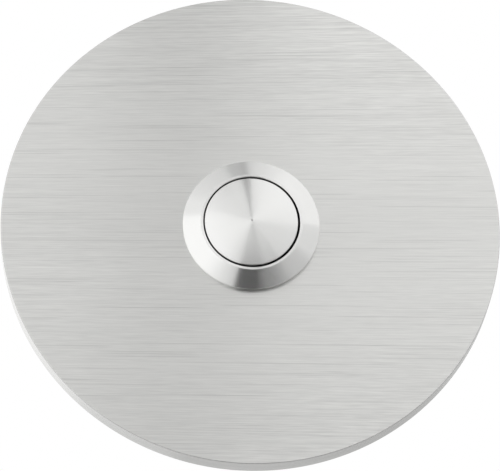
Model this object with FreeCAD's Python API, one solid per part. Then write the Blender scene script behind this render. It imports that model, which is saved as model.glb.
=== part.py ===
import FreeCAD, Part
import math
import os

# Doorbell push button: a round brushed steel plate with one turned push button in its middle.
# The plate's back face lies on the wall, in the plane y = 0. +Y points into the wall and +Z up.
# Every turned piece shares one axis, the line x = 0, z = 0. Lengths are in millimetres.

# Face plate
plate_diameter = 90.0
plate_thickness = 4.0
plate_edge_radius = 0.3

# Studs welded to the back of the plate
stud_count = 2
stud_spacing = 60.0
stud_diameter = 4.0
stud_length = 25.0
stud_chamfer = 0.6
weld_collar_diameter = 5.5
weld_collar_height = 0.8

# Bezel, the part of the housing that shows on the plate
bezel_overhang = 1.35
bezel_height = 2.4
bezel_side_height = 0.8
bezel_ring_width = 0.5
bezel_edge_radius = 0.15

# Barrel, the part of the housing that passes through the plate: 22 mm across
barrel_wall = 1.1
barrel_chamfer = 0.5
barrel_base_step = 0.3
barrel_groove_depth = 0.5
barrel_lip = 1.25

# Thread on the barrel, as rings: a helix of the same section would show and hold no differently
thread_pitch = 1.0
thread_depth = 0.6
thread_crest = 0.15

# Gasket, lock washer and nut
gasket_thickness = 0.4
gasket_width = 0.7
washer_thickness = 0.8
washer_width = 2.75
washer_ring_width = 1.5
washer_tooth_count = 16
washer_slot_width = 1.5
nut_wall = 2.5
nut_thickness = 3.5
nut_chamfer_angle = 30.0

# Cap: 16.8 mm across, which follows from the barrel's bore
cap_gap = 0.3
cap_dome_height = 0.85
cap_recess = 0.05
cap_edge_radius = 0.15
cap_guide_length = 4.6
cap_flange_width = 0.6
cap_flange_thickness = 1.0
cap_crown_thickness = 2.0
cap_groove_wall = 0.65
seal_section = 1.0
seal_front_land = 1.35
seal_groove_slack = 0.1

# Plunger
plunger_head_length = 3.2
plunger_boss_width = 1.75
plunger_boss_length = 2.4
stem_diameter = 4.0
stem_engagement = 2.5
stem_pin_length = 1.5

# Moving contacts
travel = 1.6
contact_gap_closed = 0.05
contact_shank_diameter = 1.6
bridge_end_margin = 1.8
bridge_width = 3.6
bridge_thickness = 0.4
bridge_eye_wall = 1.5
bridge_contact_diameter = 3.0
bridge_contact_height = 0.7
bridge_rivet_diameter = 2.4
bridge_rivet_height = 0.3
clip_overhang = 1.3
clip_thickness = 0.4
clip_groove_depth = 0.4
clip_grip = 0.3

# Springs
return_wire = 0.45
return_length = 6.0
return_turns = 6
contact_wire = 0.35
contact_spring_length = 4.45
contact_spring_turns = 5

# Switch base and retaining ring
base_front_length = 10.6
base_rear_length = 6.2
base_flat_depth = 2.2
barrier_thickness = 1.2
barrier_length = 4.6
ring_thickness = 1.0
ring_width = 1.6
ring_ear_width = 2.4
ring_ear_hole = 1.0
ring_gap_width = 3.0

# Fixed contacts, posts and terminals
fixed_contact_diameter = 3.4
fixed_contact_height = 0.6
fixed_shank_length = 2.2
post_front_diameter = 3.6
post_front_length = 8.0
post_rear_diameter = 5.0
post_inner_wall = 0.3
post_outer_wall = 0.8
post_protrusion = 1.0
screw_diameter = 3.0
screw_length = 6.0
screw_hole_spare = 0.8
screw_head_diameter = 5.0
screw_head_height = 1.8
screw_slot_width = 0.7
screw_slot_depth = 0.9
clamp_washer_width = 5.4
clamp_washer_thickness = 0.8
clamp_washer_chamfer = 0.6

# Clearances: pieces that sit still, pieces that slide, and the ends of a spring
seat_clearance = 0.05
slide_clearance = 0.10
spring_clearance = 0.02

# Radii that several pieces share, from the stem outwards
plate_radius = plate_diameter / 2
stem_radius = stem_diameter / 2
stem_bore_radius = stem_radius + slide_clearance
clip_groove_radius = stem_radius - clip_groove_depth
post_rear_radius = post_rear_diameter / 2
contact_x = stem_bore_radius + post_inner_wall + post_rear_radius
base_rear_radius = contact_x + post_rear_radius + post_outer_wall
base_rear_half_height = base_rear_radius - base_flat_depth
ring_inner_radius = base_rear_radius + seat_clearance
groove_radius = ring_inner_radius + ring_width + seat_clearance
base_bore_radius = groove_radius - barrel_groove_depth
base_radius = base_bore_radius - seat_clearance
cap_bore_radius = base_bore_radius - barrel_base_step
flange_radius = cap_bore_radius - slide_clearance
cap_radius = flange_radius - cap_flange_width
opening_radius = cap_radius + cap_gap
seal_floor_radius = opening_radius - seat_clearance - seal_section
cap_hollow_radius = seal_floor_radius - cap_groove_wall
barrel_radius = groove_radius + barrel_wall
bezel_radius = barrel_radius + bezel_overhang

# Depths along y, from the front of the bezel to the back of the terminals
plate_front_y = -plate_thickness
bezel_back_y = plate_front_y
gasket_front_y = plate_front_y - gasket_thickness
bezel_front_y = bezel_back_y - bezel_height
cap_rim_y = bezel_front_y + cap_recess
cap_apex_y = cap_rim_y - cap_dome_height
cap_shoulder_y = bezel_front_y + cap_guide_length
cap_back_y = cap_shoulder_y + cap_flange_thickness
cap_floor_y = cap_rim_y + cap_crown_thickness
plunger_head_back_y = cap_floor_y + plunger_head_length
plunger_boss_back_y = plunger_head_back_y + plunger_boss_length
bridge_front_y = plunger_boss_back_y + contact_spring_length
bridge_back_y = bridge_front_y + bridge_thickness
moving_face_y = bridge_back_y + bridge_contact_height
fixed_face_y = moving_face_y + travel + contact_gap_closed
base_front_y = fixed_face_y + fixed_contact_height
base_step_y = base_front_y + base_front_length
base_back_y = base_step_y + base_rear_length
barrier_back_y = base_back_y + barrier_length
groove_back_y = base_step_y + ring_thickness + 2 * seat_clearance
barrel_back_y = groove_back_y + barrel_lip
stem_back_y = base_front_y + stem_engagement
spring_floor_y = stem_back_y + return_length
post_step_y = base_front_y + post_front_length
post_back_y = base_back_y + post_protrusion
screw_seat_y = post_back_y + clamp_washer_thickness
washer_back_y = washer_thickness
nut_back_y = washer_back_y + nut_thickness


def point(radius, depth):
    """A point of a turned profile, which lies in the half plane x >= 0, z = 0."""
    return FreeCAD.Vector(radius, depth, 0)


def corner_edges(corners):
    """Edges of a closed outline. Each corner is (radius, depth, rounding), and a rounding of 0 is sharp."""
    starts, ends, arcs = [], [], []
    count = len(corners)
    for index, (radius, depth, rounding) in enumerate(corners):
        here = point(radius, depth)
        before = point(*corners[index - 1][:2])
        after = point(*corners[(index + 1) % count][:2])
        to_before = (before - here).normalize()
        to_after = (after - here).normalize()
        if rounding == 0:
            starts.append(here)
            ends.append(here)
            arcs.append(None)
            continue
        half_angle = to_before.getAngle(to_after) / 2
        leg = rounding / math.tan(half_angle)
        bisector = (to_before + to_after).normalize()
        middle = here + bisector * (rounding / math.sin(half_angle) - rounding)
        start = here + to_before * leg
        end = here + to_after * leg
        starts.append(start)
        ends.append(end)
        arcs.append(Part.Arc(start, middle, end).toShape())
    edges = []
    for index in range(count):
        if arcs[index] is not None:
            edges.append(arcs[index])
        following = (index + 1) % count
        if (starts[following] - ends[index]).Length > 1e-7:
            edges.append(Part.LineSegment(ends[index], starts[following]).toShape())
    return edges


def turned_from_edges(edges):
    """A solid turned about the y axis from the edges of a closed outline."""
    face = Part.Face(Part.Wire(Part.sortEdges(edges)[0]))
    return face.revolve(FreeCAD.Vector(0, 0, 0), FreeCAD.Vector(0, 1, 0), 360)


def turned(corners):
    """A solid turned about the y axis. A corner is (radius, depth) or (radius, depth, rounding)."""
    full = [corner if len(corner) == 3 else (corner[0], corner[1], 0) for corner in corners]
    return turned_from_edges(corner_edges(full))


def rod(radius, start_y, end_y, x=0.0, z=0.0):
    """A round bar along y."""
    base = FreeCAD.Vector(x, start_y, z)
    return Part.makeCylinder(radius, end_y - start_y, base, FreeCAD.Vector(0, 1, 0))


def block(x_limits, y_limits, z_limits):
    """A box between two limits on each axis."""
    size = [high - low for low, high in (x_limits, y_limits, z_limits)]
    return Part.makeBox(*size, FreeCAD.Vector(x_limits[0], y_limits[0], z_limits[0]))


def turned_about_y(shape, degrees):
    """A copy of a shape, turned about the common axis."""
    copy = shape.copy()
    copy.rotate(FreeCAD.Vector(0, 0, 0), FreeCAD.Vector(0, 1, 0), degrees)
    return copy


def shifted(shape, x):
    """A copy of a shape, moved along x."""
    copy = shape.copy()
    copy.translate(FreeCAD.Vector(x, 0, 0))
    return copy


def at_both_contacts(shape):
    """The same piece at the left and at the right contact, as two separate solids."""
    return Part.makeCompound([shifted(shape, side * contact_x) for side in (-1, 1)])


def coil_spring(mean_radius, wire, turns, start_y, end_y):
    """A helical spring about the y axis, whose wire ends just inside the two given depths."""
    first = start_y + wire / 2 + spring_clearance
    height = end_y - start_y - wire - 2 * spring_clearance
    path = Part.makeHelix(height / turns, height, mean_radius)
    section = Part.Wire(Part.makeCircle(wire / 2, FreeCAD.Vector(mean_radius, 0, 0), FreeCAD.Vector(0, 1, 0)))
    coil = Part.Wire(path).makePipeShell([section], True, True)
    coil.rotate(FreeCAD.Vector(0, 0, 0), FreeCAD.Vector(1, 0, 0), -90)
    coil.translate(FreeCAD.Vector(0, first, 0))
    return coil


def face_plate():
    """The round plate, with a hole that the barrel passes through."""
    hole_radius = barrel_radius + slide_clearance
    return turned([
        (hole_radius, plate_front_y),
        (plate_radius, plate_front_y, plate_edge_radius),
        (plate_radius, 0, plate_edge_radius),
        (hole_radius, 0),
    ])


def fixing_studs():
    """Threaded studs on a level line, each with the collar that its weld leaves."""
    radius = stud_diameter / 2
    stud = turned([
        (0, 0),
        (weld_collar_diameter / 2, 0),
        (weld_collar_diameter / 2, weld_collar_height),
        (radius, weld_collar_height),
        (radius, stud_length - stud_chamfer),
        (radius - stud_chamfer, stud_length),
        (0, stud_length),
    ])
    first_x = -stud_spacing * (stud_count - 1) / 2
    return Part.makeCompound([shifted(stud, first_x + index * stud_spacing) for index in range(stud_count)])


def thread_rings(radius, start_y, end_y):
    """Corners of a threaded stretch, from front to back: a V groove in each pitch, with a flat crest between."""
    corners = []
    for index in range(int((end_y - start_y) / thread_pitch)):
        groove_y = start_y + index * thread_pitch + thread_crest / 2
        groove_width = thread_pitch - thread_crest
        corners.append((radius, groove_y))
        corners.append((radius - thread_depth, groove_y + groove_width / 2))
        corners.append((radius, groove_y + groove_width))
    return corners


def button_housing():
    """Bezel and threaded barrel, turned in one piece: a recess holds the gasket, and a shoulder holds the cap in."""
    ring_radius = opening_radius + bezel_ring_width
    recess_radius = barrel_radius + seat_clearance + gasket_width + seat_clearance
    return turned([
        (opening_radius, bezel_front_y, bezel_edge_radius),
        (ring_radius, bezel_front_y, bezel_edge_radius),
        (bezel_radius, bezel_back_y - bezel_side_height, bezel_edge_radius),
        (bezel_radius, bezel_back_y),
        (recess_radius, bezel_back_y),
        (recess_radius, gasket_front_y),
        (barrel_radius, gasket_front_y),
        *thread_rings(barrel_radius, 0, barrel_back_y - barrel_chamfer),
        (barrel_radius, barrel_back_y - barrel_chamfer),
        (barrel_radius - barrel_chamfer, barrel_back_y),
        (base_bore_radius, barrel_back_y),
        (base_bore_radius, groove_back_y),
        (groove_radius, groove_back_y),
        (groove_radius, base_step_y),
        (base_bore_radius, base_step_y),
        (base_bore_radius, base_front_y),
        (cap_bore_radius, base_front_y),
        (cap_bore_radius, cap_shoulder_y),
        (opening_radius, cap_shoulder_y),
    ])


def flange_gasket():
    """The flat rubber ring in the bezel's recess, pressed on the plate."""
    inner = barrel_radius + seat_clearance
    outer = inner + gasket_width
    return turned([
        (inner, gasket_front_y),
        (outer, gasket_front_y),
        (outer, plate_front_y),
        (inner, plate_front_y),
    ])


def lock_washer():
    """A washer whose inner edge is cut into teeth."""
    inner = barrel_radius + slide_clearance
    outer = barrel_radius + washer_width
    washer = turned([(inner, 0), (outer, 0), (outer, washer_back_y), (inner, washer_back_y)])
    half_slot = washer_slot_width / 2
    slot = block((0, outer - washer_ring_width), (-1, washer_back_y + 1), (-half_slot, half_slot))
    step = 360.0 / washer_tooth_count
    for index in range(washer_tooth_count):
        washer = washer.cut(turned_about_y(slot, index * step))
    return washer


def lock_nut():
    """A flat hexagon nut with chamfered corners."""
    flat_radius = barrel_radius + nut_wall
    corner_radius = flat_radius * 2 / math.sqrt(3)
    corners = [
        FreeCAD.Vector(
            corner_radius * math.cos(math.radians(60 * index)),
            washer_back_y,
            corner_radius * math.sin(math.radians(60 * index)),
        )
        for index in range(7)
    ]
    hexagon = Part.Face(Part.makePolygon(corners)).extrude(FreeCAD.Vector(0, nut_thickness, 0))
    drop = (corner_radius - flat_radius) * math.tan(math.radians(nut_chamfer_angle))
    envelope = turned([
        (0, washer_back_y),
        (flat_radius, washer_back_y),
        (corner_radius, washer_back_y + drop),
        (corner_radius, nut_back_y - drop),
        (flat_radius, nut_back_y),
        (0, nut_back_y),
    ])
    bore = rod(barrel_radius + seat_clearance, washer_back_y - 1, nut_back_y + 1)
    return hexagon.common(envelope).cut(bore)


def button_cap():
    """The domed cap, with a groove for its seal and the flange that stops it against the housing."""
    half_groove = seal_section / 2 + seal_groove_slack / 2
    seal_y = cap_rim_y + seal_front_land + half_groove
    dome_middle_radius = cap_radius / 2
    dome_radius = (cap_radius ** 2 + cap_dome_height ** 2) / (2 * cap_dome_height)
    dome_middle_y = cap_apex_y + dome_radius - math.sqrt(dome_radius ** 2 - dome_middle_radius ** 2)
    dome = Part.Arc(
        point(0, cap_apex_y), point(dome_middle_radius, dome_middle_y), point(cap_radius, cap_rim_y)
    )
    outline = [
        point(cap_radius, cap_rim_y),
        point(cap_radius, seal_y - half_groove),
        point(seal_floor_radius, seal_y - half_groove),
        point(seal_floor_radius, seal_y + half_groove),
        point(cap_radius, seal_y + half_groove),
        point(cap_radius, cap_shoulder_y),
        point(flange_radius, cap_shoulder_y),
        point(flange_radius, cap_back_y),
        point(cap_hollow_radius, cap_back_y),
        point(cap_hollow_radius, cap_floor_y),
        point(0, cap_floor_y),
        point(0, cap_apex_y),
    ]
    sides = [Part.LineSegment(start, end).toShape() for start, end in zip(outline, outline[1:])]
    cap = turned_from_edges([dome.toShape()] + sides)
    rim = [
        edge
        for edge in cap.Edges
        if abs(edge.BoundBox.YMin - cap_rim_y) < 1e-4 and abs(edge.BoundBox.YMax - cap_rim_y) < 1e-4
    ]
    return cap.makeFillet(cap_edge_radius, rim)


def cap_seal():
    """The rubber ring in the cap's groove."""
    seal_y = cap_rim_y + seal_front_land + (seal_section + seal_groove_slack) / 2
    ring_radius = seal_floor_radius + seal_section / 2
    return Part.makeTorus(
        ring_radius, seal_section / 2, FreeCAD.Vector(0, seal_y, 0), FreeCAD.Vector(0, 1, 0)
    )


def plunger():
    """The stem: its head sits in the cap, and its tail slides in the switch base."""
    head_radius = cap_hollow_radius - seat_clearance
    boss_radius = stem_radius + plunger_boss_width
    pin_radius = stem_radius - return_wire - 2 * slide_clearance
    return turned([
        (0, cap_floor_y),
        (head_radius, cap_floor_y),
        (head_radius, plunger_head_back_y),
        (boss_radius, plunger_head_back_y),
        (boss_radius, plunger_boss_back_y),
        (stem_radius, plunger_boss_back_y),
        (stem_radius, bridge_back_y),
        (clip_groove_radius, bridge_back_y),
        (clip_groove_radius, bridge_back_y + clip_thickness),
        (stem_radius, bridge_back_y + clip_thickness),
        (stem_radius, stem_back_y),
        (pin_radius, stem_back_y),
        (pin_radius, stem_back_y + stem_pin_length),
        (0, stem_back_y + stem_pin_length),
    ])


def return_spring():
    """The spring behind the stem, in the bore of the switch base."""
    mean_radius = stem_radius - return_wire / 2
    return coil_spring(mean_radius, return_wire, return_turns, stem_back_y, spring_floor_y)


def contact_spring():
    """The spring that presses the contact bridge against its clip."""
    mean_radius = stem_radius + 2 * slide_clearance + contact_wire / 2
    return coil_spring(
        mean_radius, contact_wire, contact_spring_turns, plunger_boss_back_y, bridge_front_y
    )


def contact_bridge():
    """The strip that joins the two fixed contacts, with an eye that slides on the stem."""
    half_length = contact_x + bridge_end_margin
    half_width = bridge_width / 2
    eye_bore = stem_radius + slide_clearance
    strip = block(
        (-half_length, half_length), (bridge_front_y, bridge_back_y), (-half_width, half_width)
    )
    eye = rod(eye_bore + bridge_eye_wall, bridge_front_y, bridge_back_y)
    strip = strip.fuse(eye).removeSplitter()
    strip = strip.cut(rod(eye_bore, bridge_front_y - 1, bridge_back_y + 1))
    hole_radius = contact_shank_diameter / 2 + seat_clearance
    for side in (-1, 1):
        strip = strip.cut(rod(hole_radius, bridge_front_y - 1, bridge_back_y + 1, side * contact_x))
    return strip


def bridge_contacts():
    """Two contact rivets through the ends of the bridge."""
    shank_radius = contact_shank_diameter / 2
    rivet = turned([
        (0, bridge_front_y - bridge_rivet_height),
        (bridge_rivet_diameter / 2, bridge_front_y - bridge_rivet_height),
        (bridge_rivet_diameter / 2, bridge_front_y),
        (shank_radius, bridge_front_y),
        (shank_radius, bridge_back_y),
        (bridge_contact_diameter / 2, bridge_back_y),
        (bridge_contact_diameter / 2, moving_face_y),
        (0, moving_face_y),
    ])
    return at_both_contacts(rivet)


def bridge_clip():
    """The open clip in the stem's groove, behind the bridge."""
    back_y = bridge_back_y + clip_thickness
    outer = stem_radius + clip_overhang
    clip = rod(outer, bridge_back_y, back_y)
    clip = clip.cut(rod(clip_groove_radius + seat_clearance, bridge_back_y - 1, back_y + 1))
    half_mouth = clip_groove_radius - clip_grip
    mouth = block((-half_mouth, half_mouth), (bridge_back_y - 1, back_y + 1), (0, 2 * outer))
    return clip.cut(mouth)


def switch_base():
    """The insulating block: two bores for the posts, one for the stem, and the wall between the terminals."""
    base = rod(base_radius, base_front_y, base_step_y)
    rear = rod(base_rear_radius, base_step_y, base_back_y)
    x_limits = (-base_rear_radius, base_rear_radius)
    z_limits = (-base_rear_half_height, base_rear_half_height)
    rear = rear.common(block(x_limits, (base_step_y, base_back_y), z_limits))
    half_barrier = barrier_thickness / 2
    barrier = block((-half_barrier, half_barrier), (base_back_y, barrier_back_y), z_limits)
    base = base.fuse([rear, barrier]).removeSplitter()
    base = base.cut(rod(stem_bore_radius, base_front_y - 1, spring_floor_y))
    for side in (-1, 1):
        front = rod(post_front_diameter / 2 + seat_clearance, base_front_y - 1, post_step_y, side * contact_x)
        back = rod(post_rear_radius + seat_clearance, post_step_y, base_back_y + 1, side * contact_x)
        base = base.cut(front.fuse(back))
    return base


def base_ring():
    """The retaining ring in the barrel's groove, open at the bottom between two ears with holes."""
    outer = groove_radius - seat_clearance
    inner = ring_inner_radius
    front_y = base_step_y + seat_clearance
    back_y = front_y + ring_thickness
    ring = rod(outer, front_y, back_y)
    ring = ring.cut(rod(inner, front_y - 1, back_y + 1))
    half_gap = ring_gap_width / 2
    ear_top = base_rear_half_height + 2 * seat_clearance
    ear_bottom = inner + ring_width / 3
    hole_z = -(ear_top + inner) / 2
    for side in (-1, 1):
        near, far = half_gap, half_gap + ring_ear_width
        x_limits = (near, far) if side > 0 else (-far, -near)
        ear = block(x_limits, (front_y, back_y), (-ear_bottom, -ear_top))
        ring = ring.fuse(ear)
    ring = ring.removeSplitter()
    for side in (-1, 1):
        hole_x = side * (half_gap + ring_ear_width / 2)
        ring = ring.cut(rod(ring_ear_hole / 2, front_y - 1, back_y + 1, hole_x, hole_z))
    gap = block((-half_gap, half_gap), (front_y - 1, back_y + 1), (-groove_radius, 0))
    return ring.cut(gap)


def contact_post(side):
    """A stepped brass post: the fixed contact sits in its front end and the terminal screw in its back."""
    post = turned([
        (0, base_front_y),
        (post_front_diameter / 2, base_front_y),
        (post_front_diameter / 2, post_step_y),
        (post_rear_radius, post_step_y),
        (post_rear_radius, post_back_y),
        (0, post_back_y),
    ])
    shank_radius = contact_shank_diameter / 2 + seat_clearance
    post = post.cut(rod(shank_radius, base_front_y - 1, base_front_y + fixed_shank_length))
    hole_floor_y = screw_seat_y - screw_length - screw_hole_spare
    post = post.cut(rod(screw_diameter / 2 + seat_clearance, hole_floor_y, post_back_y + 1))
    return shifted(post, side * contact_x)


def fixed_contacts():
    """Two contact rivets in the front ends of the posts."""
    shank_radius = contact_shank_diameter / 2
    rivet = turned([
        (0, fixed_face_y),
        (fixed_contact_diameter / 2, fixed_face_y),
        (fixed_contact_diameter / 2, base_front_y),
        (shank_radius, base_front_y),
        (shank_radius, base_front_y + fixed_shank_length),
        (0, base_front_y + fixed_shank_length),
    ])
    return at_both_contacts(rivet)


def clamp_washers():
    """Two square washers that press the bell wires onto the posts."""
    half = clamp_washer_width / 2
    cut = clamp_washer_chamfer
    outline = [
        (-half + cut, -half), (half - cut, -half), (half, -half + cut), (half, half - cut),
        (half - cut, half), (-half + cut, half), (-half, half - cut), (-half, -half + cut),
        (-half + cut, -half),
    ]
    face = Part.Face(Part.makePolygon([FreeCAD.Vector(x, post_back_y, z) for x, z in outline]))
    washer = face.extrude(FreeCAD.Vector(0, clamp_washer_thickness, 0))
    hole = rod(screw_diameter / 2 + slide_clearance, post_back_y - 1, screw_seat_y + 1)
    return at_both_contacts(washer.cut(hole))


def terminal_screws():
    """Two slotted screws that hold the bell wires."""
    head_back_y = screw_seat_y + screw_head_height
    screw = rod(screw_diameter / 2, screw_seat_y - screw_length, screw_seat_y)
    screw = screw.fuse(rod(screw_head_diameter / 2, screw_seat_y, head_back_y)).removeSplitter()
    half_slot = screw_slot_width / 2
    slot = block(
        (-screw_head_diameter, screw_head_diameter),
        (head_back_y - screw_slot_depth, head_back_y + 1),
        (-half_slot, half_slot),
    )
    return at_both_contacts(screw.cut(slot))


sub_parts = {
    "face_plate": face_plate(),
    "fixing_studs": fixing_studs(),
    "button_housing": button_housing(),
    "flange_gasket": flange_gasket(),
    "lock_washer": lock_washer(),
    "lock_nut": lock_nut(),
    "button_cap": button_cap(),
    "cap_seal": cap_seal(),
    "plunger": plunger(),
    "return_spring": return_spring(),
    "contact_bridge": contact_bridge(),
    "bridge_contacts": bridge_contacts(),
    "contact_spring": contact_spring(),
    "bridge_clip": bridge_clip(),
    "switch_base": switch_base(),
    "base_ring": base_ring(),
    "contact_post_left": contact_post(-1),
    "contact_post_right": contact_post(1),
    "fixed_contacts": fixed_contacts(),
    "clamp_washers": clamp_washers(),
    "terminal_screws": terminal_screws(),
}

os.makedirs("parts", exist_ok=True)
for name, shape in sub_parts.items():
    shape.exportStep(f"parts/{name}.step")
    print(f"{name}: {len(shape.Solids)} solid, {shape.Volume:.2f} cubic mm, valid {shape.isValid()}")
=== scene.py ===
"""Doorbell push button: the shape and finish of every visible piece, the light and the camera.

Lengths are in metres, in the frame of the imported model. The back face of the plate lies in the plane y = 0,
+Y points into the wall and +Z up. Every turned piece shares one axis, the line x = 0, z = 0. A turned outline
is a list of corners, each with a radius from that axis and a depth along y.
"""
from __future__ import annotations

import logging
import math
from dataclasses import dataclass, field
from enum import Enum
from typing import Callable, Sequence

import bmesh
import bpy
import numpy as np
from mathutils import Matrix, Vector


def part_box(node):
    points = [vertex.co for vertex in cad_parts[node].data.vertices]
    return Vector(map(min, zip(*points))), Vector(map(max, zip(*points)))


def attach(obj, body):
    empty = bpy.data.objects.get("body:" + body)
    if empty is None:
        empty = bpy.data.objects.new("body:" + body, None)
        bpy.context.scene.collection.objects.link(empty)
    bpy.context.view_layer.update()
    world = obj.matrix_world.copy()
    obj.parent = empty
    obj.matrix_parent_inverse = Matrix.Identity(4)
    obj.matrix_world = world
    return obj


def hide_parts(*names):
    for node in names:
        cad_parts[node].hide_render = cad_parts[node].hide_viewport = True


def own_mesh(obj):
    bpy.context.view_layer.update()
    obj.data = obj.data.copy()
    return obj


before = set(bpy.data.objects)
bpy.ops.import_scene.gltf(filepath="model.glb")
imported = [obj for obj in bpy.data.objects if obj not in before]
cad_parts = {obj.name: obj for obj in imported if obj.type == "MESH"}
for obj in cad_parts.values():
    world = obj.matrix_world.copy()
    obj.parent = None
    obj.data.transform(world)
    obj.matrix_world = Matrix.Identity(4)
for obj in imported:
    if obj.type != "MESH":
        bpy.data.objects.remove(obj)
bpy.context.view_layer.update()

log = logging.getLogger("doorbell_push")

MM = 0.001
FULL_TURN = 2.0 * math.pi
QUARTER_TURN = 0.25
MEASURE_SLACK = 0.001 * MM
SEAM_GAP = 1e-8
PACKED_SEAM_GAP = 1e-7
CREST_SLACK = 0.0001 * MM
THREAD_STEPS = 9
FLAT_DEGREES = 1.0
SHARP_DEGREES = 30.0
ARC_SUPPORT = 0.15
TURN_RADIUS = 0.012
AXIS_RADIUS = 0.01 * MM
WHITE = (1.0, 1.0, 1.0, 1.0)
SQUARE = ((-1, -1), (1, -1), (1, 1), (-1, 1))


# Frame measures


@dataclass(frozen=True)
class Measured:
    """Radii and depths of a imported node, or of the part of it that lies in a range of depths.

    Attributes:
        inner: smallest distance of its points from the axis.
        outer: largest distance of its points from the axis.
        front: the depth nearest to the viewer.
        back: the depth furthest into the wall.
    """

    inner: float
    outer: float
    front: float
    back: float

    @classmethod
    def of(cls, node: str, front: float = -math.inf, back: float = math.inf) -> "Measured":
        """Measure the points of one node.

        Args:
            node: the node's name.
            front: the depth at which the range starts.
            back: the depth at which it ends.

        Returns:
            The node's radii and depths in that range.
        """
        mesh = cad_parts[node].data
        flat = np.empty(3 * len(mesh.vertices))
        mesh.vertices.foreach_get("co", flat)
        x, y, z = flat.reshape(-1, 3).T
        inside = (y > front - MEASURE_SLACK) & (y < back + MEASURE_SLACK)
        radius = np.hypot(x, z)[inside]
        return cls(inner=radius.min(), outer=radius.max(), front=y[inside].min(), back=y[inside].max())


# Turned surfaces


@dataclass(frozen=True)
class Corner:
    """A corner of a turned outline.

    Attributes:
        radius: distance from the axis.
        depth: place along y.
        rounding: radius of the arc that replaces the corner, 0 for a sharp one.
        step: longest step on the straight run that follows.
    """

    radius: float
    depth: float
    rounding: float = 0.0
    step: float = 2.0 * MM


@dataclass(frozen=True)
class Thread:
    """A screw thread cut into a turned surface.

    Attributes:
        start: depth at which the thread begins.
        end: depth at which it ends.
        pitch: distance from one turn to the next.
        runout: length over which the groove fades in and out.
        groove: depth of the groove as a share of the pitch.
        crest: share of the wave that the flat crest takes.
        flank: share of the wave that the slope takes.
    """

    start: float
    end: float
    pitch: float
    runout: float = 0.8 * MM
    groove: float = 0.61
    crest: float = 0.10
    flank: float = 0.75

    def cut(self, depth: np.ndarray, angle: np.ndarray) -> np.ndarray:
        """Depth of the groove under the crest.

        The groove is a triangle wave along the helix, cut off flat at crest and root, and scaled by how far
        the point is inside the threaded stretch.

        Args:
            depth: places along y.
            angle: angles about the axis.

        Returns:
            The distance by which the radius shrinks at each point.
        """
        full = self.groove * self.pitch
        phase = np.mod(depth / self.pitch - angle / FULL_TURN, 1.0)
        wave = np.abs(2.0 * phase - 1.0)
        shape = np.clip((wave - self.crest) / self.flank, 0.0, 1.0)
        inside = np.minimum(depth - self.start, self.end - depth) / self.runout
        return full * shape * np.clip(inside, 0.0, 1.0)


def arc_points(corner: Corner, before: Corner, after: Corner, steps: int) -> np.ndarray:
    """Replace one corner by points on its arc, with a support point on each side.

    The arc touches both sides of the corner. Its centre lies on the bisector, and its points are spread
    evenly over its angle. The two support points keep the shading of the flat sides flat.

    Args:
        corner: the corner.
        before: the corner in front of it in the outline.
        after: the corner behind it.
        steps: number of steps along the arc.

    Returns:
        An array of (radius, depth) rows.
    """
    here = np.array([corner.radius, corner.depth])
    if corner.rounding <= 0.0:
        return here[None, :]
    to_before = np.array([before.radius, before.depth]) - here
    to_after = np.array([after.radius, after.depth]) - here
    to_before = to_before / np.linalg.norm(to_before)
    to_after = to_after / np.linalg.norm(to_after)
    half = math.acos(float(np.clip(to_before @ to_after, -1.0, 1.0))) / 2
    leg = corner.rounding / math.tan(half)
    bisector = (to_before + to_after) / np.linalg.norm(to_before + to_after)
    centre = here + bisector * corner.rounding / math.sin(half)
    first = here + to_before * leg - centre
    last = here + to_after * leg - centre
    share = np.linspace(0.0, 1.0, steps + 1)[:, None]
    sweep = math.pi - 2 * half
    weighted = np.sin((1 - share) * sweep) * first + np.sin(share * sweep) * last
    points = centre + weighted / math.sin(sweep)
    support = ARC_SUPPORT * corner.rounding
    ends = here + np.array([to_before * (leg + support), to_after * (leg + support)])
    return np.vstack([ends[:1], points, ends[1:]])


def outline_points(corners: Sequence[Corner], closed: bool, steps: int) -> np.ndarray:
    """Sample an outline: arcs at rounded corners, and evenly split straight runs between them.

    Args:
        corners: the outline's corners, in order.
        closed: whether the last corner joins the first.
        steps: number of steps along each arc.

    Returns:
        An array of (radius, depth) rows.
    """
    count = len(corners)
    groups = [
        arc_points(corner, corners[index - 1], corners[(index + 1) % count], steps)
        for index, corner in enumerate(corners)
    ]
    runs = []
    for index, group in enumerate(groups):
        runs.append(group)
        if index == count - 1 and not closed:
            break
        start, end = group[-1], groups[(index + 1) % count][0]
        pieces = max(1, math.ceil(float(np.linalg.norm(end - start)) / corners[index].step))
        runs.append(start + (end - start) * np.linspace(0.0, 1.0, pieces + 1)[1:-1, None])
    return np.vstack(runs)


def grid_faces(rows: int, columns: int, closed: bool) -> np.ndarray:
    """Four-sided faces of a grid that wraps round in its second direction.

    Args:
        rows: number of rows.
        columns: number of columns.
        closed: whether the last row joins the first.

    Returns:
        An array of vertex indices, four a face.
    """
    index = np.arange(rows * columns).reshape(rows, columns)
    upper = index if closed else index[:-1]
    lower = np.roll(index, -1, axis=0) if closed else index[1:]
    right = np.roll(upper, -1, axis=1)
    lower_right = np.roll(lower, -1, axis=1)
    return np.stack([upper, right, lower_right, lower], axis=-1).reshape(-1, 4)


def signed_volume(points: np.ndarray, faces: np.ndarray) -> float:
    """Volume inside a closed surface of four-sided faces, negative where the faces point inwards.

    Args:
        points: vertex positions.
        faces: vertex indices, four a face.

    Returns:
        A sixth of the sum of the triple products of the two triangles in each face.
    """
    a, b, c, d = (points[faces[:, corner]] for corner in range(4))
    return float((np.cross(a, b) * c).sum() + (np.cross(a, c) * d).sum()) / 6.0


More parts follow.
